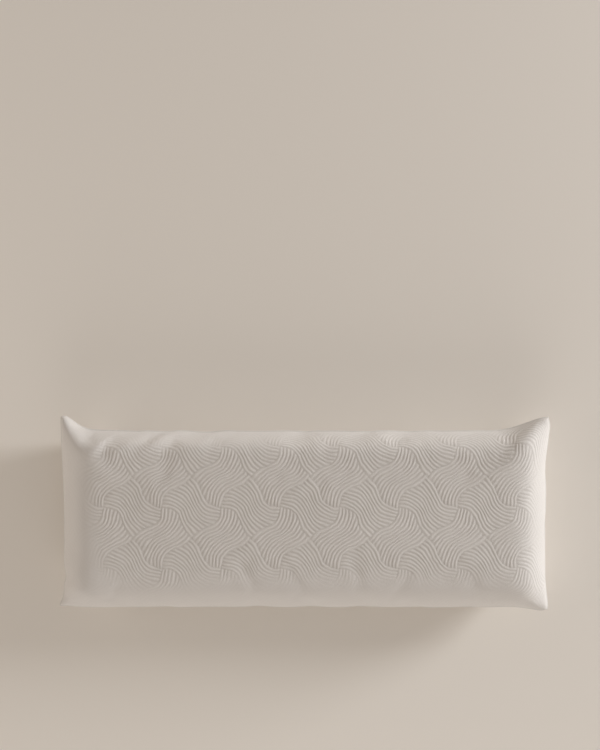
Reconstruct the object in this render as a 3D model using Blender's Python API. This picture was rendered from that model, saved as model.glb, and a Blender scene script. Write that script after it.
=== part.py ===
"""A long memory foam pillow in a knitted cover, lying on its back.

The cover is two equal panels of cloth, front and back, sewn together all round and filled by
one block of foam, so the whole is one closed form. The faces are nearly flat with a slight
crown. The cloth creases over the foam's edges and runs down to a seam at half thickness. The
upper long side is drawn in between the corners, and the corners of the cover stand out as ears.

Units are metres, with +Z up. +X runs along the pillow and +Y towards its upper long side. The
origin lies on the surface under the middle of the pillow, whose back is flat where it rests.
"""

import math
from collections import namedtuple

import bmesh
import bpy
import numpy as np

NAME = "memory_foam_pillow"

# The seam at half thickness, and how far each face bulges from it.
SEAM_HEIGHT = 0.063
FRONT_RISE = 0.060
BACK_DROP = 0.066
CROWN = 0.085

# The rim: where along its breadth the cloth creases over the foam's edge, how soft that crease is,
# how far the cloth is puffed out from taut towards round and how square that round is, the height
# the flat cloth is cut to cover, and the points its section is drawn with.
ROLL_CREASE = 0.50
ROLL_SOFTNESS = 0.20
ROLL_PUFF = 0.60
ROLL_POWER = 2.2
ROLL_HEIGHT = 0.063
ROLL_POINTS = 240

# The turned edge that stands out round the seam.
LIP_WIDTH = 0.0025
LIP_THICKNESS = 0.003

# How much thinner the ears are than the filled form, and how far in from the seams that reaches.
EAR_THIN = 0.45
EAR_SIZE = 0.032

# The slow wander of the seam's height along the sides.
SEAM_WANDER = 0.0016
SEAM_WAVE = 0.210

# The spacing of the rows of points along the cloth: on the face, and from the seam inwards.
FACE_STEP = 0.017
RIM_ROWS = (0.0, 0.006, 0.013, 0.022, 0.032, 0.041, 0.049, 0.057, 0.065, 0.073, 0.082, 0.093)

# Each side: how far its seam lies from the middle, and the breadth over which the face rolls.
Side = namedtuple("Side", "reach roll")
LEFT = Side(reach=0.4438, roll=0.072)
RIGHT = Side(reach=0.4445, roll=0.076)
UPPER = Side(reach=0.1525, roll=0.042)
LOWER = Side(reach=0.1735, roll=0.072)

# The pulls on the filled form: where each is strongest, how far it moves the cloth there along X
# and Y, how far it lifts the seam, and how far it spreads along X and Y. The corners come first,
# from the left end's upper one round to the lower one, then a slack place in the left seam.
Pull = namedtuple("Pull", "x y move_x move_y lift spread_x spread_y")
PULLS = (
    Pull(x=-0.4438, y=0.1525, move_x=-0.0045, move_y=0.0, lift=0.0, spread_x=0.048, spread_y=0.085),
    Pull(x=-0.4438, y=0.1525, move_x=0.0, move_y=0.0230, lift=0.010, spread_x=0.027, spread_y=0.048),
    Pull(x=-0.4438, y=0.1525, move_x=0.0, move_y=0.0065, lift=0.0, spread_x=0.060, spread_y=0.048),
    Pull(x=-0.4438, y=0.1525, move_x=0.0010, move_y=-0.0040, lift=0.0, spread_x=0.007, spread_y=0.009),
    Pull(x=0.4445, y=0.1525, move_x=0.0065, move_y=0.0, lift=0.0, spread_x=0.048, spread_y=0.045),
    Pull(x=0.4445, y=0.1525, move_x=0.0, move_y=0.0250, lift=0.012, spread_x=0.055, spread_y=0.048),
    Pull(x=0.4445, y=0.1525, move_x=-0.0040, move_y=0.0, lift=0.0, spread_x=0.020, spread_y=0.009),
    Pull(x=0.4445, y=-0.1735, move_x=0.0030, move_y=-0.0050, lift=0.004, spread_x=0.036, spread_y=0.036),
    Pull(x=0.4445, y=-0.1735, move_x=-0.0010, move_y=0.0035, lift=0.0, spread_x=0.008, spread_y=0.008),
    Pull(x=-0.4438, y=-0.1735, move_x=-0.0065, move_y=0.0, lift=0.0, spread_x=0.048, spread_y=0.015),
    Pull(x=-0.4438, y=-0.1735, move_x=0.0, move_y=0.0035, lift=0.0, spread_x=0.034, spread_y=0.048),
    Pull(x=-0.4438, y=-0.1145, move_x=0.0026, move_y=0.0, lift=0.0, spread_x=0.030, spread_y=0.013),
)

# Soft ridges (rise above 0) and troughs (below 0): middle, half length, half breadth, turn in
# degrees from +X, and rise.
Fold = namedtuple("Fold", "x y length breadth turn rise")
FRONT_FOLDS = (
    Fold(x=-0.393, y=0.141, length=0.015, breadth=0.010, turn=40, rise=-0.0045),
    Fold(x=-0.412, y=0.128, length=0.030, breadth=0.009, turn=50, rise=0.0026),
    Fold(x=-0.372, y=0.124, length=0.026, breadth=0.009, turn=52, rise=0.0030),
    Fold(x=-0.322, y=0.128, length=0.036, breadth=0.009, turn=27, rise=0.0036),
    Fold(x=-0.262, y=0.134, length=0.038, breadth=0.009, turn=23, rise=0.0034),
    Fold(x=-0.190, y=0.131, length=0.042, breadth=0.010, turn=17, rise=0.0028),
    Fold(x=-0.105, y=0.136, length=0.050, breadth=0.011, turn=9, rise=0.0020),
    Fold(x=0.413, y=0.140, length=0.034, breadth=0.011, turn=38, rise=0.0022),
    Fold(x=0.352, y=-0.158, length=0.040, breadth=0.009, turn=11, rise=0.0030),
    Fold(x=-0.372, y=-0.150, length=0.042, breadth=0.013, turn=-24, rise=0.0018),
    Fold(x=0.300, y=0.052, length=0.085, breadth=0.050, turn=-12, rise=-0.0016),
    Fold(x=0.158, y=0.088, length=0.060, breadth=0.036, turn=20, rise=-0.0010),
    Fold(x=0.060, y=-0.020, length=0.110, breadth=0.070, turn=8, rise=0.0010),
    Fold(x=-0.215, y=-0.052, length=0.095, breadth=0.060, turn=-10, rise=0.0012),
    Fold(x=-0.300, y=0.070, length=0.080, breadth=0.050, turn=15, rise=-0.0010),
)
BACK_FOLDS = (
    Fold(x=-0.385, y=0.112, length=0.034, breadth=0.011, turn=42, rise=0.0020),
    Fold(x=0.398, y=0.118, length=0.034, breadth=0.011, turn=-44, rise=0.0020),
    Fold(x=0.230, y=0.126, length=0.050, breadth=0.012, turn=-14, rise=0.0016),
    Fold(x=-0.150, y=-0.150, length=0.050, breadth=0.012, turn=12, rise=0.0016),
    Fold(x=0.392, y=-0.138, length=0.034, breadth=0.011, turn=36, rise=0.0018),
)

CLOTH_COLOUR = (0.80, 0.775, 0.735, 1.0)
CLOTH_ROUGHNESS = 0.85


class Section:
    """Half of the pillow's section, followed along the cloth from the middle to the seam."""

    def __init__(self, side):
        part = np.sin(np.linspace(0, math.pi / 2, ROLL_POINTS))
        body = side.reach - LIP_WIDTH
        plan = body - side.roll + side.roll * part
        fall = part - ROLL_CREASE + np.hypot(part - ROLL_CREASE, ROLL_SOFTNESS)
        taut = (fall[-1] - fall) / (fall[-1] - fall[0])
        puffed = np.maximum(1 - part**ROLL_POWER, 0) ** (1 / ROLL_POWER)
        height = (1 - ROLL_PUFF) * taut + ROLL_PUFF * puffed
        steps = np.hypot(np.diff(plan), ROLL_HEIGHT * np.diff(height))
        cloth = plan[0] + np.concatenate([[0], np.cumsum(steps)])
        self.cloth = np.concatenate([[0], cloth, [cloth[-1] + LIP_WIDTH]])
        self.plan = np.concatenate([[0], plan, [side.reach]])
        self.height = np.concatenate([[1], height, [0]])
        self.length = self.cloth[-1]

    def at(self, cloth):
        """The plan distance from the middle and the share of the full height at cloth."""
        plan = np.interp(cloth, self.cloth, self.plan)
        return plan, np.interp(cloth, self.cloth, self.height)


SECTIONS = {side: Section(side) for side in (LEFT, RIGHT, UPPER, LOWER)}


def across(cloth, low, high):
    """Signed plan position and share of height for cloth positions between two sides."""
    low_plan, low_height = SECTIONS[low].at(-cloth)
    high_plan, high_height = SECTIONS[high].at(cloth)
    plan = np.where(cloth < 0, -low_plan, high_plan)
    return plan, np.where(cloth < 0, low_height, high_height)


def bump(distance, width):
    return np.exp(-((distance / width) ** 2))


def lesser(share_x, share_y):
    """The smaller of two shares of height, blended softly where they are near each other."""
    both = share_x * share_y
    return both / np.sqrt(np.maximum(share_x**2 + share_y**2 - both**2, 1e-12))


def folds_at(folds, x, y):
    """The summed height of the soft ridges and troughs at plan positions."""
    total = np.zeros_like(x)
    for fold in folds:
        turn = math.radians(fold.turn)
        along = (x - fold.x) * math.cos(turn) + (y - fold.y) * math.sin(turn)
        beside = (y - fold.y) * math.cos(turn) - (x - fold.x) * math.sin(turn)
        total += fold.rise * bump(along, fold.length) * bump(beside, fold.breadth)
    return total


def filled(cloth_x, cloth_y, front):
    """Where points of the flat cover come to lie once it is filled. front is a mask."""
    x, share_x = across(cloth_x, LEFT, RIGHT)
    y, share_y = across(cloth_y, LOWER, UPPER)
    share = lesser(share_x, share_y)
    crown = 1 + CROWN * (1 - (x / LEFT.reach) ** 2) * (1 - (y / LOWER.reach) ** 2)
    seam = SEAM_HEIGHT + SEAM_WANDER * np.sin((x + y) / SEAM_WAVE * 2 * math.pi) * (1 - share)
    face = np.where(front, folds_at(FRONT_FOLDS, x, y), folds_at(BACK_FOLDS, x, y))
    pull_x = np.zeros_like(x)
    pull_y = np.zeros_like(y)
    for pull in PULLS:
        share_here = bump(x - pull.x, pull.spread_x) * bump(y - pull.y, pull.spread_y)
        pull_x += pull.move_x * share_here
        pull_y += pull.move_y * share_here
        seam += pull.lift * share_here
    near = bump(UPPER.reach - y, EAR_SIZE) + bump(LOWER.reach + y, EAR_SIZE)
    near *= bump(RIGHT.reach - x, EAR_SIZE) + bump(LEFT.reach + x, EAR_SIZE)
    share *= 1 - EAR_THIN * near
    rise = np.where(front, FRONT_RISE * crown, BACK_DROP)
    out = LIP_THICKNESS / 2 + share * rise + face * np.sqrt(share)
    z = np.where(front, seam + out, np.maximum(seam - out, 0))
    return np.stack([x + pull_x, y + pull_y, z], axis=-1)


def rows(low, high):
    """Cloth positions of the rows of points between two sides' seams, without the ends."""
    start, end = -SECTIONS[low].length, SECTIONS[high].length
    rim = LIP_WIDTH + np.array(RIM_ROWS)
    inner_start, inner_end = start + rim[-1], end - rim[-1]
    count = round((inner_end - inner_start) / FACE_STEP)
    face = np.linspace(inner_start, inner_end, count + 1)[1:-1]
    return np.concatenate([start + rim, face, end - rim[::-1]])


def cut_rows(mesh, positions, axis):
    """Cuts a mesh by planes across an axis at each position."""
    for position in positions:
        place = [0.0, 0.0, 0.0]
        place[axis] = position
        normal = [0.0, 0.0, 0.0]
        normal[axis] = 1.0
        everything = mesh.verts[:] + mesh.edges[:] + mesh.faces[:]
        bmesh.ops.bisect_plane(mesh, geom=everything, plane_co=place, plane_no=normal)


def flat_cover():
    """The empty cover: a thin slab as large as the cut cloth, with its rows of points."""
    left, right = SECTIONS[LEFT].length, SECTIONS[RIGHT].length
    lower, upper = SECTIONS[LOWER].length, SECTIONS[UPPER].length
    mesh = bmesh.new()
    bmesh.ops.create_cube(mesh, size=1.0)
    bmesh.ops.scale(mesh, verts=mesh.verts, vec=(left + right, lower + upper, LIP_THICKNESS))
    bmesh.ops.translate(mesh, verts=mesh.verts, vec=((right - left) / 2, (upper - lower) / 2, 0))
    cut_rows(mesh, rows(LEFT, RIGHT), axis=0)
    cut_rows(mesh, rows(LOWER, UPPER), axis=1)
    return mesh


def cloth_material():
    material = bpy.data.materials.new("cover_cloth")
    material.use_nodes = True
    surface = material.node_tree.nodes["Principled BSDF"]
    surface.inputs["Base Color"].default_value = CLOTH_COLOUR
    surface.inputs["Roughness"].default_value = CLOTH_ROUGHNESS
    surface.inputs["Metallic"].default_value = 0.0
    return material


def pillow(collection):
    """The filled pillow, from the flat cover."""
    cover = flat_cover()
    flat = np.array([point.co for point in cover.verts])
    placed = filled(flat[:, 0], flat[:, 1], flat[:, 2] > 0)
    for point, place in zip(cover.verts, placed):
        point.co = place
    bmesh.ops.recalc_face_normals(cover, faces=cover.faces)
    data = bpy.data.meshes.new("pillow")
    cover.to_mesh(data)
    cover.free()
    data.shade_smooth()
    data.materials.append(cloth_material())
    made = bpy.data.objects.new("pillow", data)
    collection.objects.link(made)
    return made


def main():
    for old in list(bpy.data.objects):
        bpy.data.objects.remove(old)
    collection = bpy.data.collections.new(NAME)
    bpy.context.scene.collection.children.link(collection)
    pillow(collection)


main()
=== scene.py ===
"""The looks of a long foam pillow in a knitted cover, lying on its back on a pale floor.

The cover is built the way it is made. Two flat panels are covered in ribs, which lie in bands
woven over and under each other and swirled about the corners of a square lattice. Each panel
is cut to its rectangle, laid over the filled form with the wrinkles of a simulated cover, and
joined to the other along a turned seam.

Units are metres, with +Z up and out of the pillow's face. +X runs along the pillow and +Y towards
its upper long side. The origin lies on the floor under the middle of the pillow.
"""

import math
from collections import namedtuple

import bmesh
import bpy
import numpy as np
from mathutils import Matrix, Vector


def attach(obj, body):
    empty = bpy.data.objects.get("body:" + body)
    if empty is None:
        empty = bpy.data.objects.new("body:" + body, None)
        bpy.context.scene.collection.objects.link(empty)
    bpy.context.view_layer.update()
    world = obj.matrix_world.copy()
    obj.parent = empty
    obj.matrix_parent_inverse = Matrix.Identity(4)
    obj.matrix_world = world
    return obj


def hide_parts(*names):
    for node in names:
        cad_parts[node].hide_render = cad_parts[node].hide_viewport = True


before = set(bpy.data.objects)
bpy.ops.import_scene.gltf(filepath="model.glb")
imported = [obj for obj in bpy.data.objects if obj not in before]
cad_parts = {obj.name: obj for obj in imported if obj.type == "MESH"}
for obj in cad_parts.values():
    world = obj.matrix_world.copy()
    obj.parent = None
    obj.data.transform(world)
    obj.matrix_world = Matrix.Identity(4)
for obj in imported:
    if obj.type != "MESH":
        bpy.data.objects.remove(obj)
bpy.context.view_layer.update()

# The filled form has the same sizes as the solid. The seam lies at half thickness, and each face
# bulges from it.
SEAM_HEIGHT = 0.063
FRONT_RISE = 0.060
BACK_DROP = 0.066
CROWN = 0.085

# The rim: where along its breadth the cloth creases over the foam's edge, how soft that crease is,
# how far the cloth is puffed out from taut towards round and how square that round is, the height
# the flat cloth is cut to cover, and the points its section is drawn with.
ROLL_CREASE = 0.50
ROLL_SOFTNESS = 0.20
ROLL_PUFF = 0.60
ROLL_POWER = 2.2
ROLL_HEIGHT = 0.063
ROLL_POINTS = 240

# The turned edge that stands out round the seam.
LIP_WIDTH = 0.0025
LIP_THICKNESS = 0.003

# How much thinner the ears are than the filled form, and how far in from the seams that reaches.
EAR_THIN = 0.45
EAR_SIZE = 0.032

# The slow wander of the seam's height along the sides.
SEAM_WANDER = 0.0016
SEAM_WAVE = 0.210

# The blend of two shares of height divides by a root, and what is under the root is kept above this.
LEAST_SQUARE = 1e-12

# Each side: how far its seam lies from the middle, the breadth over which the face falls away to
# it, and how far in from the seam the ribs are stretched flat.
Side = namedtuple("Side", "reach roll plain")
LEFT = Side(reach=0.4438, roll=0.072, plain=0.072)
RIGHT = Side(reach=0.4445, roll=0.076, plain=0.034)
UPPER = Side(reach=0.1525, roll=0.042, plain=0.006)
LOWER = Side(reach=0.1735, roll=0.072, plain=0.071)

# The pulls on the filled form: where each is strongest, how far it moves the cloth there along X
# and Y, how far it lifts the seam, and how far it spreads along X and Y. The corners come first,
# from the left end's upper one round to the lower one, then a slack place in the left seam.
Pull = namedtuple("Pull", "x y move_x move_y lift spread_x spread_y")
PULLS = (
    Pull(x=-0.4438, y=0.1525, move_x=-0.0045, move_y=0.0, lift=0.0, spread_x=0.048, spread_y=0.085),
    Pull(x=-0.4438, y=0.1525, move_x=0.0, move_y=0.0230, lift=0.010, spread_x=0.027, spread_y=0.048),
    Pull(x=-0.4438, y=0.1525, move_x=0.0, move_y=0.0065, lift=0.0, spread_x=0.060, spread_y=0.048),
    Pull(x=-0.4438, y=0.1525, move_x=0.0010, move_y=-0.0040, lift=0.0, spread_x=0.007, spread_y=0.009),
    Pull(x=0.4445, y=0.1525, move_x=0.0065, move_y=0.0, lift=0.0, spread_x=0.048, spread_y=0.045),
    Pull(x=0.4445, y=0.1525, move_x=0.0, move_y=0.0250, lift=0.012, spread_x=0.055, spread_y=0.048),
    Pull(x=0.4445, y=0.1525, move_x=-0.0040, move_y=0.0, lift=0.0, spread_x=0.020, spread_y=0.009),
    Pull(x=0.4445, y=-0.1735, move_x=0.0030, move_y=-0.0050, lift=0.004, spread_x=0.036, spread_y=0.036),
    Pull(x=0.4445, y=-0.1735, move_x=-0.0010, move_y=0.0035, lift=0.0, spread_x=0.008, spread_y=0.008),
    Pull(x=-0.4438, y=-0.1735, move_x=-0.0065, move_y=0.0, lift=0.0, spread_x=0.048, spread_y=0.015),
    Pull(x=-0.4438, y=-0.1735, move_x=0.0, move_y=0.0035, lift=0.0, spread_x=0.034, spread_y=0.048),
    Pull(x=-0.4438, y=-0.1145, move_x=0.0026, move_y=0.0, lift=0.0, spread_x=0.030, spread_y=0.013),
)

# Soft ridges (rise above 0) and troughs (below 0): middle, half length, half breadth, turn in
# degrees from +X, and rise.
Fold = namedtuple("Fold", "x y length breadth turn rise")
FRONT_FOLDS = (
    Fold(x=-0.393, y=0.141, length=0.015, breadth=0.010, turn=40, rise=-0.0045),
    Fold(x=-0.412, y=0.128, length=0.030, breadth=0.009, turn=50, rise=0.0026),
    Fold(x=-0.372, y=0.124, length=0.026, breadth=0.009, turn=52, rise=0.0030),
    Fold(x=-0.322, y=0.128, length=0.036, breadth=0.009, turn=27, rise=0.0036),
    Fold(x=-0.262, y=0.134, length=0.038, breadth=0.009, turn=23, rise=0.0034),
    Fold(x=-0.190, y=0.131, length=0.042, breadth=0.010, turn=17, rise=0.0028),
    Fold(x=-0.105, y=0.136, length=0.050, breadth=0.011, turn=9, rise=0.0020),
    Fold(x=0.413, y=0.140, length=0.034, breadth=0.011, turn=38, rise=0.0022),
    Fold(x=0.352, y=-0.158, length=0.040, breadth=0.009, turn=11, rise=0.0030),
    Fold(x=-0.372, y=-0.150, length=0.042, breadth=0.013, turn=-24, rise=0.0018),
    Fold(x=0.300, y=0.052, length=0.085, breadth=0.050, turn=-12, rise=-0.0016),
    Fold(x=0.158, y=0.088, length=0.060, breadth=0.036, turn=20, rise=-0.0010),
    Fold(x=0.060, y=-0.020, length=0.110, breadth=0.070, turn=8, rise=0.0010),
    Fold(x=-0.215, y=-0.052, length=0.095, breadth=0.060, turn=-10, rise=0.0012),
    Fold(x=-0.300, y=0.070, length=0.080, breadth=0.050, turn=15, rise=-0.0010),
)
BACK_FOLDS = (
    Fold(x=-0.385, y=0.112, length=0.034, breadth=0.011, turn=42, rise=0.0020),
    Fold(x=0.398, y=0.118, length=0.034, breadth=0.011, turn=-44, rise=0.0020),
    Fold(x=0.230, y=0.126, length=0.050, breadth=0.012, turn=-14, rise=0.0016),
    Fold(x=-0.150, y=-0.150, length=0.050, breadth=0.012, turn=12, rise=0.0016),
    Fold(x=0.392, y=-0.138, length=0.034, breadth=0.011, turn=36, rise=0.0018),
)

# Finer creases of the front panel, which pull from the upper left corner across the slack cloth
# there, and gather at the other corners.
FINE_FOLDS = (
    Fold(x=-0.398, y=0.152, length=0.008, breadth=0.0040, turn=20, rise=0.0016),
    Fold(x=-0.384, y=0.144, length=0.009, breadth=0.0040, turn=55, rise=-0.0016),
    Fold(x=-0.356, y=0.139, length=0.022, breadth=0.0045, turn=38, rise=0.0018),
    Fold(x=-0.304, y=0.135, length=0.026, breadth=0.0045, turn=30, rise=0.0020),
    Fold(x=-0.261, y=0.140, length=0.026, breadth=0.0045, turn=30, rise=0.0020),
    Fold(x=-0.208, y=0.138, length=0.024, breadth=0.0045, turn=29, rise=0.0018),
    Fold(x=-0.119, y=0.140, length=0.038, breadth=0.0050, turn=13, rise=0.0014),
    Fold(x=0.416, y=0.150, length=0.020, breadth=0.0040, turn=48, rise=0.0012),
    Fold(x=0.360, y=-0.164, length=0.030, breadth=0.0040, turn=9, rise=0.0014),
    Fold(x=0.418, y=-0.158, length=0.016, breadth=0.0040, turn=-40, rise=0.0012),
)

# Places where the ribs run farther out to the seam (more above 0) or stop short of it.
Stretch = namedtuple("Stretch", "x y spread_x spread_y more")
STRETCHES = (
    Stretch(x=0.420, y=0.145, spread_x=0.045, spread_y=0.040, more=0.026),
    Stretch(x=0.420, y=-0.140, spread_x=0.055, spread_y=0.050, more=0.040),
    Stretch(x=-0.270, y=-0.120, spread_x=0.070, spread_y=0.040, more=0.019),
    Stretch(x=-0.385, y=-0.110, spread_x=0.060, spread_y=0.070, more=-0.016),
    Stretch(x=-0.400, y=0.060, spread_x=0.060, spread_y=0.080, more=0.012),
    Stretch(x=-0.300, y=0.160, spread_x=0.120, spread_y=0.060, more=-0.020),
    Stretch(x=-0.120, y=0.160, spread_x=0.120, spread_y=0.060, more=-0.014),
)

# The ribbed cloth: the lattice's repeat, one of its swirl centres, how strongly the bands are
# swirled, the ribs in a band, how high a rib stands, and how it falls off at its sides and ends.
# A band also swells a little between the bands that cross it. A place this near to a band's side,
# as a share of its breadth, lies on both bands there. The swirl is undone in rounds, each of them
# closer than the last.
REPEAT_X = 0.1050
REPEAT_Y = 0.1085
CENTRE_X = 0.0612
CENTRE_Y = 0.0188
SWIRL = -0.40
SWIRL_CROSS = -0.45
RIBS = 10
RIB_HEIGHT = 0.0011
RIB_ROUNDNESS = 1.8
RIB_END = 0.4
SWELL = 0.00015
SWELL_POWER = 2.5
ON_SIDE = 1e-3
UNSWIRL_ROUNDS = 12

# How high the cloth lies where the pillow rests, which leaves room for the ribs on its underside.
REST_HEIGHT = RIB_HEIGHT + SWELL

# Where the ribs are stretched flat: the share of their height that is left, how softly they fade out, and
# the colour there between the ground's, at 0, and a rib's, at 1. That colour is partly the flattened knit's
# own even tone and partly painted light, set lighter than the ribbed face so that the rims look brighter.
PLAIN_SHARE = 0.12
PLAIN_EDGE = 0.0055
PLAIN_RELIEF = 0.60

# The knitted cloth's uneven lie: how far its ribs wander in long and in short waves, the lengths
# of those waves, and how uneven the ribs' height is. The seam calms the wander within the first
# distance of it, and its stitches hold the ribs flat within the second.
WANDER_LONG = 0.0016
WANDER_SHORT = 0.0008
WANDER_WAVES = (0.034, 0.014)
HEIGHT_UNEVEN = 0.22
HEIGHT_WAVE = 0.026
EDGE_CALM = 0.020
EDGE_HELD = 0.005

# The waves that make up an uneven wander: their direction, its length giving their pitch, and
# where they start.
Wave = namedtuple("Wave", "x y start")
WAVES = (
    Wave(x=1.00, y=0.31, start=0.0),
    Wave(x=-0.42, y=0.87, start=1.7),
    Wave(x=0.63, y=-0.58, start=4.1),
    Wave(x=0.27, y=1.21, start=2.6),
)

# The fine grid of one band: points across its ribs, and which of them are kept along them, which
# lie closest at the band's two ends.
POINTS_A_RIB = 4
BAND_POINTS = RIBS * POINTS_A_RIB
ALONG = (0, 1) + tuple(range(4, BAND_POINTS - 2, 3)) + (BAND_POINTS - 1, BAND_POINTS)

# The seam's flange in section: how far out of the panel's edge, and how high from its middle. The
# step is how far apart its points are round the rim.
Flange = namedtuple("Flange", "out up")
SEAM_FLANGE = (
    Flange(out=0.0006, up=0.0014),
    Flange(out=0.0013, up=0.0011),
    Flange(out=0.0019, up=0.0007),
    Flange(out=0.0022, up=0.0000),
    Flange(out=0.0019, up=-0.0007),
    Flange(out=0.0013, up=-0.0011),
    Flange(out=0.0006, up=-0.0014),
)
SEAM_STEP = 0.004

# The hem that the seam takes in: a line this far in from a panel's edge is cut into its mesh too,
# which keeps the faces beside the seam even.
HEM = 0.0012

# A point this near to a cut through a panel lies on it, and a point this near to a side of the
# panel's rectangle lies on that side.
ON_CUT = 1e-6
ON_RIM = 1e-5

# How far apart the cloth is read on each side of a point to find which way it faces.
SLOPE_STEP = 0.0005

# The knitted stitches: their width and height, how far they slant, how deep and how strong they
# are, the scale of the fuzz on them, the scale and share of their unevenness, the scale and depth
# of the cloth's slow change of shade, and the detail of the fine and the slow unevenness.
WALE = 0.0010
COURSE = 0.0011
STITCH_SLANT = 0.9
STITCH_DEPTH = 0.00012
STITCH_STRENGTH = 0.5
FUZZ_SCALE = 1500.0
UNEVEN_SCALE = 260.0
UNEVEN_SHARE = 4.0
PATCH_SCALE = 11.0
PATCH_SHADE = 0.05
FINE_DETAIL = 2.0
PATCH_DETAIL = 3.0

# The knit's colours, on its ground and on its ribs. The ground's darker colour, which the valleys between
# the ribs take, is partly the knit's own tone and partly painted shade. Then the share of a rib's height up
# to which the ground's colour holds, the cloth's shine and sheen, and its roughness with what the fuzz
# adds.
KNIT_GROUND_AND_SHADE = (0.65, 0.622, 0.59, 1)
KNIT_RIB = (0.77, 0.746, 0.718, 1)
GROUND_SHARE = 0.15
KNIT_SPECULAR = 0.25
KNIT_SHEEN = 0.2
SHEEN_ROUGHNESS = 0.5
KNIT_ROUGHNESS = 0.80
FUZZ_ROUGHNESS = 0.12

# The cloth simulation that wrinkles the cover: its grid and length, the cloth's mass and how
# stiffly it takes stretching, shearing and bending, and the pressure in it.
SIM_STEP = 0.008
SIM_FRAMES = 20
SIM_QUALITY = 6
SIM_MASS = 0.15
SIM_STRETCH = 25
SIM_SHEAR = 10
SIM_BEND = 0.4
SIM_PRESSURE = 4.0

# What is kept of it: how many rounds of smoothing set apart its wrinkles from its swelling, the
# share of them that the foam inside lets through, how far they may move a point, and how many
# rows from the seam move alike on the two panels.
SIM_SMOOTHING = 24
SIM_SHARE = 0.35
SIM_LIMIT = 0.0022
SIM_SEAM_ROWS = 2

# What a panel of the cover is laid out with: whether it is the front one, and its wrinkles on the
# coarse grid.
Panel = namedtuple("Panel", "front wrinkles")

# What each point of the cover's mesh carries: its place on the flat cloth, and its colour between the
# ground's, at 0, and a rib's, at 1. That colour follows the rib's height, so the valleys get painted shade.
Layers = namedtuple("Layers", "cloth relief")

# The floor under the pillow.
FLOOR_SIZE = 8.0
FLOOR_COLOUR = (0.84, 0.80, 0.74, 1)
FLOOR_ROUGHNESS = 0.9

# The soft disk lights: where each stands, how broad it is, its power in watts and its colour. All
# of them are aimed at one place in the pillow.
Light = namedtuple("Light", "name place size power colour")
LIGHTS = (
    Light(name="key", place=(5.1, 2.05, 1.3), size=1.6, power=262, colour=(0.98, 0.985, 1.0)),
    Light(name="left_fill", place=(-2.3, 0.2, 0.75), size=1.8, power=11, colour=(1.0, 0.92, 0.84)),
    Light(name="lower_fill", place=(0.2, -2.3, 0.75), size=2.2, power=20, colour=(1.0, 0.965, 0.935)),
)
LIGHTS_AIM = (0.0, 0.0, 0.06)

# The room's own light, which falls off from its low colour to its high one: the two colours, how
# high up the high one is reached, and the light's strength.
ROOM_LOW = (0.64, 0.57, 0.51, 1)
ROOM_HIGH = (0.31, 0.275, 0.245, 1)
ROOM_HIGH_AT = 0.7
ROOM_STRENGTH = 0.96

# The camera looks at the pillow's face along its normal, from beyond the upper long side, so that
# the pillow lies low in the picture. Its range is measured from the seam.
CAMERA_X = -0.0083
CAMERA_Y = 0.2545
CAMERA_RANGE = 1.92
LENS = 50.0
FRAME_HEIGHT = 36.0


class Section:
    """Half of the pillow's section, followed along the cloth from the middle to the seam."""

    def __init__(self, side):
        part = np.sin(np.linspace(0, math.pi / 2, ROLL_POINTS))
        body = side.reach - LIP_WIDTH
        plan = body - side.roll + side.roll * part
        fall = part - ROLL_CREASE + np.hypot(part - ROLL_CREASE, ROLL_SOFTNESS)
        taut = (fall[-1] - fall) / (fall[-1] - fall[0])
        puffed = np.maximum(1 - part**ROLL_POWER, 0) ** (1 / ROLL_POWER)
        height = (1 - ROLL_PUFF) * taut + ROLL_PUFF * puffed
        steps = np.hypot(np.diff(plan), ROLL_HEIGHT * np.diff(height))
        cloth = plan[0] + np.concatenate([[0], np.cumsum(steps)])
        self.cloth = np.concatenate([[0], cloth, [cloth[-1] + LIP_WIDTH]])
        self.plan = np.concatenate([[0], plan, [side.reach]])
        self.height = np.concatenate([[1], height, [0]])
        self.panel = cloth[-1]

    def at(self, cloth):
        """The plan distance from the middle and the share of the full height at cloth."""
        plan = np.interp(cloth, self.cloth, self.plan)
        return plan, np.interp(cloth, self.cloth, self.height)


SECTIONS = {side: Section(side) for side in (LEFT, RIGHT, UPPER, LOWER)}
PANEL_LOW = (-SECTIONS[LEFT].panel, -SECTIONS[LOWER].panel)
PANEL_HIGH = (SECTIONS[RIGHT].panel, SECTIONS[UPPER].panel)


def across(cloth, low, high):
    """Signed plan position and share of height for cloth positions between two sides."""
    low_plan, low_height = SECTIONS[low].at(-cloth)
    high_plan, high_height = SECTIONS[high].at(cloth)
    plan = np.where(cloth < 0, -low_plan, high_plan)
    return plan, np.where(cloth < 0, low_height, high_height)


def bump(distance, width):
    return np.exp(-((distance / width) ** 2))


def lesser(share_x, share_y):
    """The smaller of two shares of height, blended softly where they are near each other."""
    both = share_x * share_y
    return both / np.sqrt(np.maximum(share_x**2 + share_y**2 - both**2, LEAST_SQUARE))


def folds_at(folds, x, y):
    """The summed height of the soft ridges and troughs at plan positions."""
    total = np.zeros_like(x)
    for fold in folds:
        turn = math.radians(fold.turn)
        along = (x - fold.x) * math.cos(turn) + (y - fold.y) * math.sin(turn)
        beside = (y - fold.y) * math.cos(turn) - (x - fold.x) * math.sin(turn)
        total += fold.rise * bump(along, fold.length) * bump(beside, fold.breadth)
    return total


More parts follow.
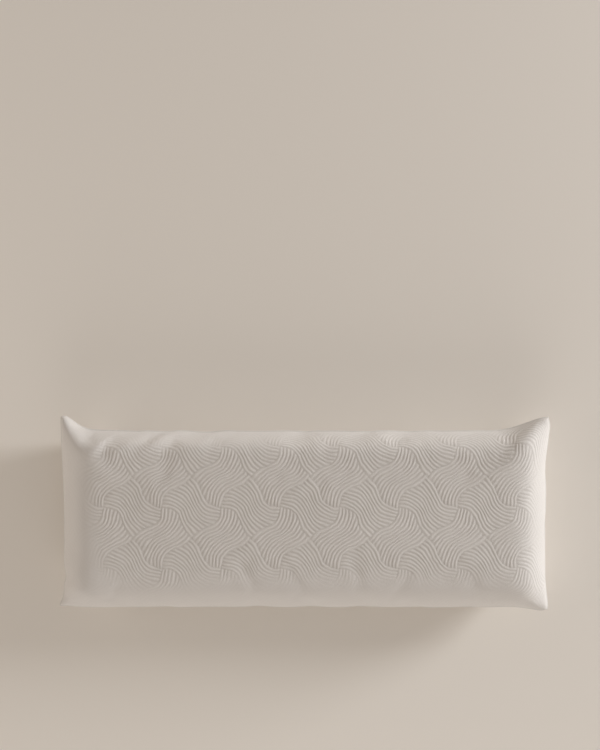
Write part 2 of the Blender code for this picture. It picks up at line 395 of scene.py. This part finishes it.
def filled(cloth_x, cloth_y, front):
    """Where points of a flat panel come to lie once the cover is filled, without wrinkles."""
    x, share_x = across(cloth_x, LEFT, RIGHT)
    y, share_y = across(cloth_y, LOWER, UPPER)
    share = lesser(share_x, share_y)
    crown = 1 + CROWN * (1 - (x / LEFT.reach) ** 2) * (1 - (y / LOWER.reach) ** 2)
    seam = SEAM_HEIGHT + SEAM_WANDER * np.sin((x + y) / SEAM_WAVE * 2 * math.pi) * (1 - share)
    face = folds_at(FRONT_FOLDS + FINE_FOLDS if front else BACK_FOLDS, x, y)
    pull_x = np.zeros_like(x)
    pull_y = np.zeros_like(y)
    for pull in PULLS:
        share_here = bump(x - pull.x, pull.spread_x) * bump(y - pull.y, pull.spread_y)
        pull_x += pull.move_x * share_here
        pull_y += pull.move_y * share_here
        seam += pull.lift * share_here
    near = bump(UPPER.reach - y, EAR_SIZE) + bump(LOWER.reach + y, EAR_SIZE)
    near *= bump(RIGHT.reach - x, EAR_SIZE) + bump(LEFT.reach + x, EAR_SIZE)
    share *= 1 - EAR_THIN * near
    out = LIP_THICKNESS / 2 + share * (FRONT_RISE * crown if front else BACK_DROP) + face * np.sqrt(share)
    z = seam + out if front else np.maximum(seam - out, REST_HEIGHT)
    return np.stack([x + pull_x, y + pull_y, z], axis=-1)


def sim_rows(axis):
    """The simulation's rows across a panel, from one seam to the other."""
    low, high = PANEL_LOW[axis], PANEL_HIGH[axis]
    return np.linspace(low, high, round((high - low) / SIM_STEP) + 1)


def coarse_cover():
    """The filled cover as one closed mesh, and the numbers of each panel's points in it. The two
    panels' grids share the points along the seam."""
    grid_x, grid_y = np.meshgrid(sim_rows(0), sim_rows(1), indexing="ij")
    flat = np.stack([grid_x, grid_y, np.zeros_like(grid_x)], axis=-1)
    flat_inner = flat[1:-1, 1:-1].reshape(-1, 3)
    front = np.arange(grid_x.size).reshape(grid_x.shape)
    back = front.copy()
    back[1:-1, 1:-1] = (front.size + np.arange(len(flat_inner))).reshape(back[1:-1, 1:-1].shape)
    flat = flat.reshape(-1, 3)
    places = np.concatenate([
        filled(flat[:, 0], flat[:, 1], True), filled(flat_inner[:, 0], flat_inner[:, 1], False)
    ])
    faces = []
    for grid, order in ((front, 1), (back, -1)):
        corners = np.stack([grid[:-1, :-1], grid[1:, :-1], grid[1:, 1:], grid[:-1, 1:]], axis=-1)
        faces += corners.reshape(-1, 4)[:, ::order].tolist()
    data = bpy.data.meshes.new("coarse_cover")
    data.from_pydata(places.tolist(), [], faces)
    made = bpy.data.objects.new("coarse_cover", data)
    bpy.context.scene.collection.objects.link(made)
    made.shape_key_add(name="filled")
    cut = made.shape_key_add(name="cut")
    cut.data.foreach_set("co", np.concatenate([flat, flat_inner]).ravel())
    return made, front, back


def smoothed(grid, rounds):
    """A grid of moves averaged with its neighbours again and again."""
    for _ in range(rounds):
        for axis in (0, 1):
            wide = np.concatenate([grid.take([0], axis), grid, grid.take([-1], axis)], axis)
            size = grid.shape[axis]
            low = wide.take(range(size), axis)
            high = wide.take(range(2, size + 2), axis)
            grid = (low + 2 * grid + high) / 4
    return grid


def local_part(grid):
    """A grid of moves without its slow swelling and whole rows' moves, and limited."""
    own = grid - smoothed(grid, SIM_SMOOTHING)
    own = own - own.mean(axis=0, keepdims=True) - own.mean(axis=1, keepdims=True)
    return SIM_LIMIT * np.tanh(SIM_SHARE / SIM_LIMIT * own)


def make_cloth(coarse):
    """Lets the coarse cover move as cloth, filled with pressure. At rest it is as large as the
    flat cut cloth, so it gathers where it has too much."""
    modifier = coarse.modifiers.new("cloth", "CLOTH")
    settings = modifier.settings
    settings.quality = SIM_QUALITY
    settings.mass = SIM_MASS
    settings.tension_stiffness = SIM_STRETCH
    settings.compression_stiffness = SIM_STRETCH
    settings.shear_stiffness = SIM_SHEAR
    settings.bending_stiffness = SIM_BEND
    settings.use_pressure = True
    settings.uniform_pressure_force = SIM_PRESSURE
    settings.effector_weights.gravity = 0
    settings.rest_shape_key = coarse.data.shape_keys.key_blocks["cut"]
    modifier.collision_settings.use_collision = False


def settled_moves(coarse):
    """How far the simulation has moved each point of the coarse cover at its end."""
    before = np.empty(3 * len(coarse.data.vertices))
    coarse.data.vertices.foreach_get("co", before)
    for number in range(1, SIM_FRAMES + 1):
        bpy.context.scene.frame_set(number)
    settled = coarse.evaluated_get(bpy.context.evaluated_depsgraph_get())
    after = np.empty_like(before)
    settled.data.vertices.foreach_get("co", after)
    return (after - before).reshape(-1, 3)


def wrinkled_panels():
    """The front and the back panel with their wrinkles, from a cloth simulation."""
    coarse, front, back = coarse_cover()
    make_cloth(coarse)
    moves = settled_moves(coarse)
    bpy.data.objects.remove(coarse)
    bpy.context.scene.frame_set(1)
    front_moves, back_moves = local_part(moves[front]), local_part(moves[back])
    shared = (front_moves + back_moves) / 2
    for own in (front_moves, back_moves):
        for rows in (slice(0, SIM_SEAM_ROWS), slice(-SIM_SEAM_ROWS, None)):
            own[rows] = shared[rows]
            own[:, rows] = shared[:, rows]
    return Panel(True, front_moves), Panel(False, back_moves)


def spline_weights(part):
    """The shares of four neighbouring rows at a part of the way from the second to the third."""
    return (
        (1 - part) ** 3 / 6,
        (3 * part**3 - 6 * part**2 + 4) / 6,
        (-3 * part**3 + 3 * part**2 + 3 * part + 1) / 6,
        part**3 / 6,
    )


def sampled(grid, cloth_x, cloth_y):
    """A smooth reading of a coarse grid of moves at places of a flat panel."""
    at, weights = [], []
    for axis, cloth in ((0, cloth_x), (1, cloth_y)):
        last = grid.shape[axis] - 1
        spot = (cloth - PANEL_LOW[axis]) / (PANEL_HIGH[axis] - PANEL_LOW[axis]) * last
        spot = np.clip(spot, 0, last)
        row = np.minimum(np.floor(spot), last - 1).astype(int)
        at.append([np.clip(row + step, 0, last) for step in (-1, 0, 1, 2)])
        weights.append(spline_weights(spot - row))
    total = np.zeros((len(cloth_x), 3))
    for row_x, weight_x in zip(at[0], weights[0]):
        for row_y, weight_y in zip(at[1], weights[1]):
            total += grid[row_x, row_y] * (weight_x * weight_y)[:, None]
    return total


def worn(cloth_x, cloth_y, panel):
    """Where points of a flat panel come to lie once the cover is filled and wrinkled."""
    place = filled(cloth_x, cloth_y, panel.front) + sampled(panel.wrinkles, cloth_x, cloth_y)
    if not panel.front:
        place[:, 2] = np.maximum(place[:, 2], REST_HEIGHT)
    return place


def swirl(x, y):
    """How far the bands are shifted at a place of the lattice, and the shift's slopes."""
    sin_x, cos_x = np.sin(2 * math.pi * x), np.cos(2 * math.pi * x)
    sin_y, cos_y = np.sin(2 * math.pi * y), np.cos(2 * math.pi * y)
    shift_x = -(SWIRL * sin_y + SWIRL_CROSS * cos_x * sin_y) / (2 * math.pi)
    shift_y = (SWIRL * sin_x + SWIRL_CROSS * sin_x * cos_y) / (2 * math.pi)
    stretch = SWIRL_CROSS * sin_x * sin_y
    shear_x = -SWIRL * cos_y - SWIRL_CROSS * cos_x * cos_y
    shear_y = SWIRL * cos_x + SWIRL_CROSS * cos_x * cos_y
    return shift_x, shift_y, stretch, shear_x, shear_y


def unswirled(band_x, band_y):
    """Places of the lattice whose swirled bands lie at band_x and band_y."""
    x, y = band_x.copy(), band_y.copy()
    for _ in range(UNSWIRL_ROUNDS):
        shift_x, shift_y, stretch, shear_x, shear_y = swirl(x, y)
        off_x = x + shift_x - band_x
        off_y = y + shift_y - band_y
        size = (1 + stretch) * (1 - stretch) - shear_x * shear_y
        x -= ((1 - stretch) * off_x - shear_x * off_y) / size
        y -= ((1 + stretch) * off_y - shear_y * off_x) / size
    return x, y


def one_band(beside, along):
    """The height of one band's cloth: its ribs, on a swell that dives under the bands that cross
    at its two ends. It drops to nothing right at its sides."""
    rib = np.abs(np.sin(math.pi * RIBS * beside)) ** RIB_ROUNDNESS
    from_side = np.abs(beside - np.round(beside)) * BAND_POINTS
    from_end = np.abs(along - np.round(along)) * BAND_POINTS
    dive = 1 - (1 - 2 * from_end / BAND_POINTS) ** SWELL_POWER
    end = RIB_END + (1 - RIB_END) * np.clip(from_end, 0, 1)
    return RIB_HEIGHT * rib * end + SWELL * dive * np.clip(from_side, 0, 1)


def rib_height(cloth_x, cloth_y):
    """How high the cloth stands at places of a flat panel."""
    x = (cloth_x - CENTRE_X) / REPEAT_X
    y = (cloth_y - CENTRE_Y) / REPEAT_Y
    shift_x, shift_y = swirl(x, y)[:2]
    rising = (x + shift_x) + (y + shift_y)
    falling = (x + shift_x) - (y + shift_y)
    upright = one_band(rising, falling)
    level = one_band(falling, rising)
    own = np.where((np.floor(rising) + np.floor(falling)) % 2 == 0, upright, level)
    from_side = np.minimum(np.abs(rising - np.round(rising)), np.abs(falling - np.round(falling)))
    return np.where(from_side < ON_SIDE, np.maximum(upright, level), own)


def unevenness(x, y, size):
    """A smooth wander between -1 and 1, whose waves are about size long."""
    total = np.zeros_like(x)
    for wave in WAVES:
        total += np.sin((x * wave.x + y * wave.y) / size * 2 * math.pi + wave.start)
    return total / len(WAVES)


def edge_share(x, y, breadth):
    """A share that is 0 at a flat panel's edge and 1 at its breadth or farther in from it."""
    from_edge_x = np.minimum(x - PANEL_LOW[0], PANEL_HIGH[0] - x)
    from_edge_y = np.minimum(y - PANEL_LOW[1], PANEL_HIGH[1] - y)
    return np.clip(np.minimum(from_edge_x, from_edge_y) / breadth, 0, 1)


def wandered(x, y):
    """Places of a flat panel, moved as unevenly as knitted cloth lies, but not at its edge."""
    share = edge_share(x, y, EDGE_CALM)
    long_wave, short_wave = WANDER_WAVES
    move_x = WANDER_LONG * unevenness(x, y, long_wave) + WANDER_SHORT * unevenness(y, x, short_wave)
    move_y = WANDER_LONG * unevenness(y, -x, long_wave) + WANDER_SHORT * unevenness(-x, y, short_wave)
    return x + share * move_x, y + share * move_y


def stretched(x, y):
    """The share of the ribs' height left at places of the filled form."""
    more = np.zeros_like(x)
    for spot in STRETCHES:
        more += spot.more * bump(x - spot.x, spot.spread_x) * bump(y - spot.y, spot.spread_y)
    share = np.ones_like(x)
    for side, from_seam in (
        (LEFT, x + LEFT.reach), (RIGHT, RIGHT.reach - x), (UPPER, UPPER.reach - y), (LOWER, y + LOWER.reach)
    ):
        share *= 1 / (1 + np.exp((side.plain - from_seam - more) / PLAIN_EDGE))
    return PLAIN_SHARE + (1 - PLAIN_SHARE) * share


def band_faces(rising, falling):
    """The faces of one band, as places on the fine grid. A band's neighbours run across it, so
    the faces along its two long sides take in every point that the neighbours have there."""
    turned = (rising + falling) % 2 == 1
    for beside in range(BAND_POINTS):
        for low, high in zip(ALONG, ALONG[1:]):
            last = beside == BAND_POINTS - 1
            right = range(low, high + 1) if last else (low, high)
            left = range(high, low - 1, -1) if beside == 0 else (high, low)
            corners = [(beside + 1, along) for along in right] + [(beside, along) for along in left]
            if turned:
                corners = [(along, across_ribs) for across_ribs, along in reversed(corners)]
            yield [(rising * BAND_POINTS + i, falling * BAND_POINTS + j) for i, j in reversed(corners)]


def cut_at(panel, axis, place, sign, trimmed):
    """A straight cut across a flat panel, square to an axis, which can trim off what lies
    beyond it."""
    point = [0.0, 0.0, 0.0]
    point[axis] = place
    normal = [0.0, 0.0, 0.0]
    normal[axis] = sign
    everything = panel.verts[:] + panel.edges[:] + panel.faces[:]
    bmesh.ops.bisect_plane(
        panel, geom=everything, dist=ON_CUT, plane_co=point, plane_no=normal, clear_outer=trimmed
    )


def flat_ribs():
    """One flat panel's mesh: the bands that reach it, cut to its rectangle and along its hem."""
    corner_to_corner = math.hypot(PANEL_HIGH[0] - PANEL_LOW[0], PANEL_HIGH[1] - PANEL_LOW[1])
    reach = math.ceil(corner_to_corner / min(REPEAT_X, REPEAT_Y)) + 1
    points = {}
    faces = []
    for rising in range(-reach, reach):
        for falling in range(-reach, reach):
            middle_x = CENTRE_X + (rising + falling + 1) / 2 * REPEAT_X
            middle_y = CENTRE_Y + (rising - falling) / 2 * REPEAT_Y
            beyond_x = max(PANEL_LOW[0] - middle_x, middle_x - PANEL_HIGH[0])
            beyond_y = max(PANEL_LOW[1] - middle_y, middle_y - PANEL_HIGH[1])
            if beyond_x > REPEAT_X or beyond_y > REPEAT_Y:
                continue
            for corners in band_faces(rising, falling):
                faces.append([points.setdefault(corner, len(points)) for corner in corners])
    places = np.array(list(points)) / BAND_POINTS
    x, y = unswirled((places[:, 0] + places[:, 1]) / 2, (places[:, 0] - places[:, 1]) / 2)
    flat = np.stack([CENTRE_X + x * REPEAT_X, CENTRE_Y + y * REPEAT_Y, np.zeros_like(x)], axis=-1)
    data = bpy.data.meshes.new("flat_ribs")
    data.from_pydata(flat.tolist(), [], faces)
    panel = bmesh.new()
    panel.from_mesh(data)
    bpy.data.meshes.remove(data)
    for axis in (0, 1):
        for edge, sign in ((PANEL_LOW[axis], -1), (PANEL_HIGH[axis], 1)):
            cut_at(panel, axis, edge, sign, True)
            cut_at(panel, axis, edge - sign * HEM, sign, False)
    return panel


def side_of(corner_a, corner_b, count):
    """Points from one corner up to, but not at, the next."""
    part = np.arange(count)[:, None] / count
    return corner_a + (corner_b - corner_a) * part


def rim_places():
    """Regular places round a panel's rectangle, and the way out of it at each."""
    low, high = np.array(PANEL_LOW), np.array(PANEL_HIGH)
    corners = np.array([low, (high[0], low[1]), high, (low[0], high[1])])
    outward = np.array([(-1, -1), (1, -1), (1, 1), (-1, 1)], dtype=float)
    places, ways = [], []
    for start in range(4):
        end = (start + 1) % 4
        count = round(np.abs(corners[end] - corners[start]).max() / SEAM_STEP)
        places.append(side_of(corners[start], corners[end], count))
        way = np.repeat([(outward[start] + outward[end]) / 2], count, axis=0)
        way[0] = outward[start]
        ways.append(way)
    return np.concatenate(places), np.concatenate(ways)


def seam_rings(panels):
    """The seam's ridge as closed rings of points, from the front panel round to the back one."""
    places, ways = rim_places()
    rings = []
    for part in SEAM_FLANGE:
        cloth = places + ways * part.out
        ring = sum(worn(cloth[:, 0], cloth[:, 1], panel) for panel in panels) / 2
        ring[:, 2] += part.up
        rings.append(ring)
    return places, rings


def round_the_rim(places):
    """How far places on a panel's rectangle lie round it, from its low corner."""
    low, high = np.array(PANEL_LOW), np.array(PANEL_HIGH)
    size_x, size_y = high - low
    x, y = (places - low).T
    on_low_y = y < ON_RIM
    on_high_x = (x > size_x - ON_RIM) & ~on_low_y
    on_high_y = (y > size_y - ON_RIM) & ~on_high_x
    way = np.where(on_low_y, x, 2 * size_x + size_y + (size_y - y))
    way = np.where(on_high_y, size_x + size_y + (size_x - x), way)
    return np.where(on_high_x, size_x + y, way)


def zip_loops(first, first_way, second, second_way):
    """Triangles that join two loops of points, each in order of its way round."""
    faces = []
    i, j = 0, 0
    while i < len(first) or j < len(second):
        next_first = first_way[i + 1] if i + 1 < len(first) else math.inf
        next_second = second_way[j + 1] if j + 1 < len(second) else math.inf
        here_first, here_second = first[i % len(first)], second[j % len(second)]
        step_first = j >= len(second) or (i < len(first) and next_first <= next_second)
        if step_first:
            i += 1
            faces.append((here_first, first[i % len(first)], here_second))
        else:
            j += 1
            faces.append((here_first, second[j % len(second)], here_second))
    return faces


def laid_ribs(flat, panel):
    """The places of a flat panel's points once it is laid over the filled form, and the colour of each
    between the ground's and a rib's, which darkens the valleys between the ribs as painted shade."""
    x, y = wandered(flat[:, 0], flat[:, 1])
    here = worn(x, y, panel)
    along_x = worn(x + SLOPE_STEP, y, panel) - worn(x - SLOPE_STEP, y, panel)
    along_y = worn(x, y + SLOPE_STEP, panel) - worn(x, y - SLOPE_STEP, panel)
    normal = np.cross(along_x, along_y) * (1 if panel.front else -1)
    normal /= np.linalg.norm(normal, axis=1)[:, None]
    rib = rib_height(flat[:, 0], flat[:, 1])
    share = stretched(across(x, LEFT, RIGHT)[0], across(y, LOWER, UPPER)[0])
    # Lower places get more of the ground's darker colour, which is partly painted shade in the valleys.
    relief = share * rib / (RIB_HEIGHT + SWELL) + (1 - share) * PLAIN_RELIEF
    rib *= share * edge_share(x, y, EDGE_HELD)
    rib *= 1 - HEIGHT_UNEVEN * (1 - unevenness(x, y, HEIGHT_WAVE))
    return here + normal * rib[:, None], relief


def seam_faces(mesh, layers, panels):
    """The seam's ridge in the mesh, as rings of its points, and where they lie round the rim."""
    places, rings = seam_rings(panels)
    ring_points = []
    for ring in rings:
        points = [mesh.verts.new(place) for place in ring]
        for point, flat in zip(points, places):
            point[layers.cloth] = (flat[0], flat[1], 0.0)
            # The seam's ridge takes the rims' colour, which is partly painted light.
            point[layers.relief] = PLAIN_RELIEF
        ring_points.append(points)
    for one, other in zip(ring_points, ring_points[1:]):
        for i in range(len(one)):
            after = (i + 1) % len(one)
            mesh.faces.new((one[i], one[after], other[after], other[i]))
    return ring_points, round_the_rim(places)


def panel_faces(mesh, layers, panel, ring, rim_way):
    """One panel in the mesh, laid over the filled form and joined to a ring of the seam."""
    cut = flat_ribs()
    flat = np.array([point.co for point in cut.verts])[:, :2]
    laid, reliefs = laid_ribs(flat, panel)
    points = []
    for place, spot, relief in zip(laid, flat, reliefs):
        point = mesh.verts.new(place)
        point[layers.cloth] = (spot[0], spot[1], 0.0)
        point[layers.relief] = relief
        points.append(point)
    cut.verts.index_update()
    for face in cut.faces:
        mesh.faces.new([points[corner.index] for corner in face.verts])
    edge = [point.index for point in cut.verts if point.is_boundary]
    cut.free()
    edge_way = round_the_rim(flat[edge])
    order = np.argsort(edge_way)
    loop = [points[edge[i]] for i in order]
    for corners in zip_loops(loop, edge_way[order], ring, rim_way):
        mesh.faces.new(corners)


def cover(panels):
    """The whole cover as one closed mesh."""
    mesh = bmesh.new()
    layers = Layers(mesh.verts.layers.float_vector.new("cloth"), mesh.verts.layers.float.new("relief"))
    rings, rim_way = seam_faces(mesh, layers, panels)
    for panel, ring in zip(panels, (rings[0], rings[-1])):
        panel_faces(mesh, layers, panel, ring, rim_way)
    bmesh.ops.recalc_face_normals(mesh, faces=mesh.faces)
    data = bpy.data.meshes.new("pillow_cover")
    mesh.to_mesh(data)
    mesh.free()
    data.shade_smooth()
    made = bpy.data.objects.new("pillow_cover", data)
    bpy.context.scene.collection.objects.link(made)
    return made


def calculated(tree, operation, *values):
    """The output of a math node, whose inputs are numbers or other nodes' outputs."""
    made = tree.nodes.new("ShaderNodeMath")
    made.operation = operation
    for socket, value in zip(made.inputs, values):
        if isinstance(value, float):
            socket.default_value = value
        else:
            tree.links.new(value, socket)
    return made.outputs["Value"]


def attribute(tree, name, output):
    made = tree.nodes.new("ShaderNodeAttribute")
    made.attribute_name = name
    return made.outputs[output]


def noise(tree, place, scale, detail):
    made = tree.nodes.new("ShaderNodeTexNoise")
    made.inputs["Scale"].default_value = scale
    made.inputs["Detail"].default_value = detail
    tree.links.new(place, made.inputs["Vector"])
    return made.outputs["Fac"]


def stitches(tree, place):
    """The height of the knitted loops: rows of small chevrons, one column a wale, each mirrored
    about its middle."""
    parts = tree.nodes.new("ShaderNodeSeparateXYZ")
    tree.links.new(place, parts.inputs["Vector"])
    wale = calculated(tree, "PINGPONG", calculated(tree, "DIVIDE", parts.outputs["X"], WALE), 0.5)
    course = calculated(tree, "DIVIDE", parts.outputs["Y"], COURSE)
    slanted = calculated(tree, "ADD", course, calculated(tree, "MULTIPLY", wale, STITCH_SLANT))
    return calculated(tree, "SINE", calculated(tree, "MULTIPLY", slanted, 2 * math.pi))


def knit():
    """The cover's cloth: light ribs on a slightly darker ground, whose darker colour in the valleys is
    partly painted shade, in fine knitted stitches with a soft fuzz."""
    material = bpy.data.materials.new("cover_knit")
    material.use_nodes = True
    tree = material.node_tree
    surface = tree.nodes["Principled BSDF"]
    surface.inputs["Specular IOR Level"].default_value = KNIT_SPECULAR
    surface.inputs["Sheen Weight"].default_value = KNIT_SHEEN
    surface.inputs["Sheen Roughness"].default_value = SHEEN_ROUGHNESS
    place = attribute(tree, "cloth", "Vector")
    # The colour follows the rib's height: the darker ground in the valleys is partly painted shade.
    ramp = tree.nodes.new("ShaderNodeValToRGB")
    ramp.color_ramp.elements[0].position = GROUND_SHARE
    ramp.color_ramp.elements[0].color = KNIT_GROUND_AND_SHADE
    ramp.color_ramp.elements[1].color = KNIT_RIB
    tree.links.new(attribute(tree, "relief", "Fac"), ramp.inputs["Fac"])
    shade = tree.nodes.new("ShaderNodeHueSaturation")
    patches = noise(tree, place, PATCH_SCALE, PATCH_DETAIL)
    patchy = calculated(tree, "MULTIPLY_ADD", patches, PATCH_SHADE, 1 - PATCH_SHADE / 2)
    tree.links.new(patchy, shade.inputs["Value"])
    tree.links.new(ramp.outputs["Color"], shade.inputs["Color"])
    tree.links.new(shade.outputs["Color"], surface.inputs["Base Color"])
    fuzz = noise(tree, place, FUZZ_SCALE, FINE_DETAIL)
    roughness = calculated(tree, "MULTIPLY_ADD", fuzz, FUZZ_ROUGHNESS, KNIT_ROUGHNESS)
    tree.links.new(roughness, surface.inputs["Roughness"])
    uneven = noise(tree, place, UNEVEN_SCALE, FINE_DETAIL)
    uneven = calculated(tree, "MULTIPLY", uneven, UNEVEN_SHARE)
    height = calculated(tree, "ADD", calculated(tree, "ADD", stitches(tree, place), fuzz), uneven)
    bumps = tree.nodes.new("ShaderNodeBump")
    bumps.inputs["Strength"].default_value = STITCH_STRENGTH
    bumps.inputs["Distance"].default_value = STITCH_DEPTH
    tree.links.new(height, bumps.inputs["Height"])
    tree.links.new(bumps.outputs["Normal"], surface.inputs["Normal"])
    return material


def floor():
    bpy.ops.mesh.primitive_plane_add(size=FLOOR_SIZE, location=(0, 0, 0))
    made = bpy.context.object
    made.name = "floor"
    material = bpy.data.materials.new("floor_paint")
    material.use_nodes = True
    surface = material.node_tree.nodes["Principled BSDF"]
    surface.inputs["Base Color"].default_value = FLOOR_COLOUR
    surface.inputs["Roughness"].default_value = FLOOR_ROUGHNESS
    made.data.materials.append(material)


def disk_light(planned):
    light = bpy.data.lights.new(planned.name, "AREA")
    light.shape = "DISK"
    light.size = planned.size
    light.energy = planned.power
    light.color = planned.colour
    made = bpy.data.objects.new(planned.name, light)
    bpy.context.scene.collection.objects.link(made)
    made.location = planned.place
    towards = Vector(LIGHTS_AIM) - Vector(planned.place)
    made.rotation_euler = towards.to_track_quat("-Z", "Y").to_euler()


def room_light():
    """The soft light of the room, darker the higher it comes from."""
    world = bpy.data.worlds.new("studio")
    world.use_nodes = True
    nodes, links = world.node_tree.nodes, world.node_tree.links
    way = nodes.new("ShaderNodeTexCoord")
    parts = nodes.new("ShaderNodeSeparateXYZ")
    links.new(way.outputs["Generated"], parts.inputs["Vector"])
    ramp = nodes.new("ShaderNodeValToRGB")
    ramp.color_ramp.elements[0].color = ROOM_LOW
    ramp.color_ramp.elements[1].position = ROOM_HIGH_AT
    ramp.color_ramp.elements[1].color = ROOM_HIGH
    links.new(parts.outputs["Z"], ramp.inputs["Fac"])
    links.new(ramp.outputs["Color"], nodes["Background"].inputs["Color"])
    nodes["Background"].inputs["Strength"].default_value = ROOM_STRENGTH
    bpy.context.scene.world = world


def studio():
    floor()
    for light in LIGHTS:
        disk_light(light)
    room_light()
    bpy.context.scene.view_settings.view_transform = "Standard"


def camera():
    data = bpy.data.cameras.new("camera")
    data.sensor_fit = "VERTICAL"
    data.sensor_height = FRAME_HEIGHT
    data.lens = LENS
    made = bpy.data.objects.new("camera", data)
    made.location = (CAMERA_X, CAMERA_Y, SEAM_HEIGHT + CAMERA_RANGE)
    bpy.context.scene.collection.objects.link(made)
    bpy.context.scene.camera = made


camera()
studio()
pillow_cover = cover(wrinkled_panels())
pillow_cover.data.materials.append(knit())
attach(pillow_cover, "root")
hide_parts("pillow")
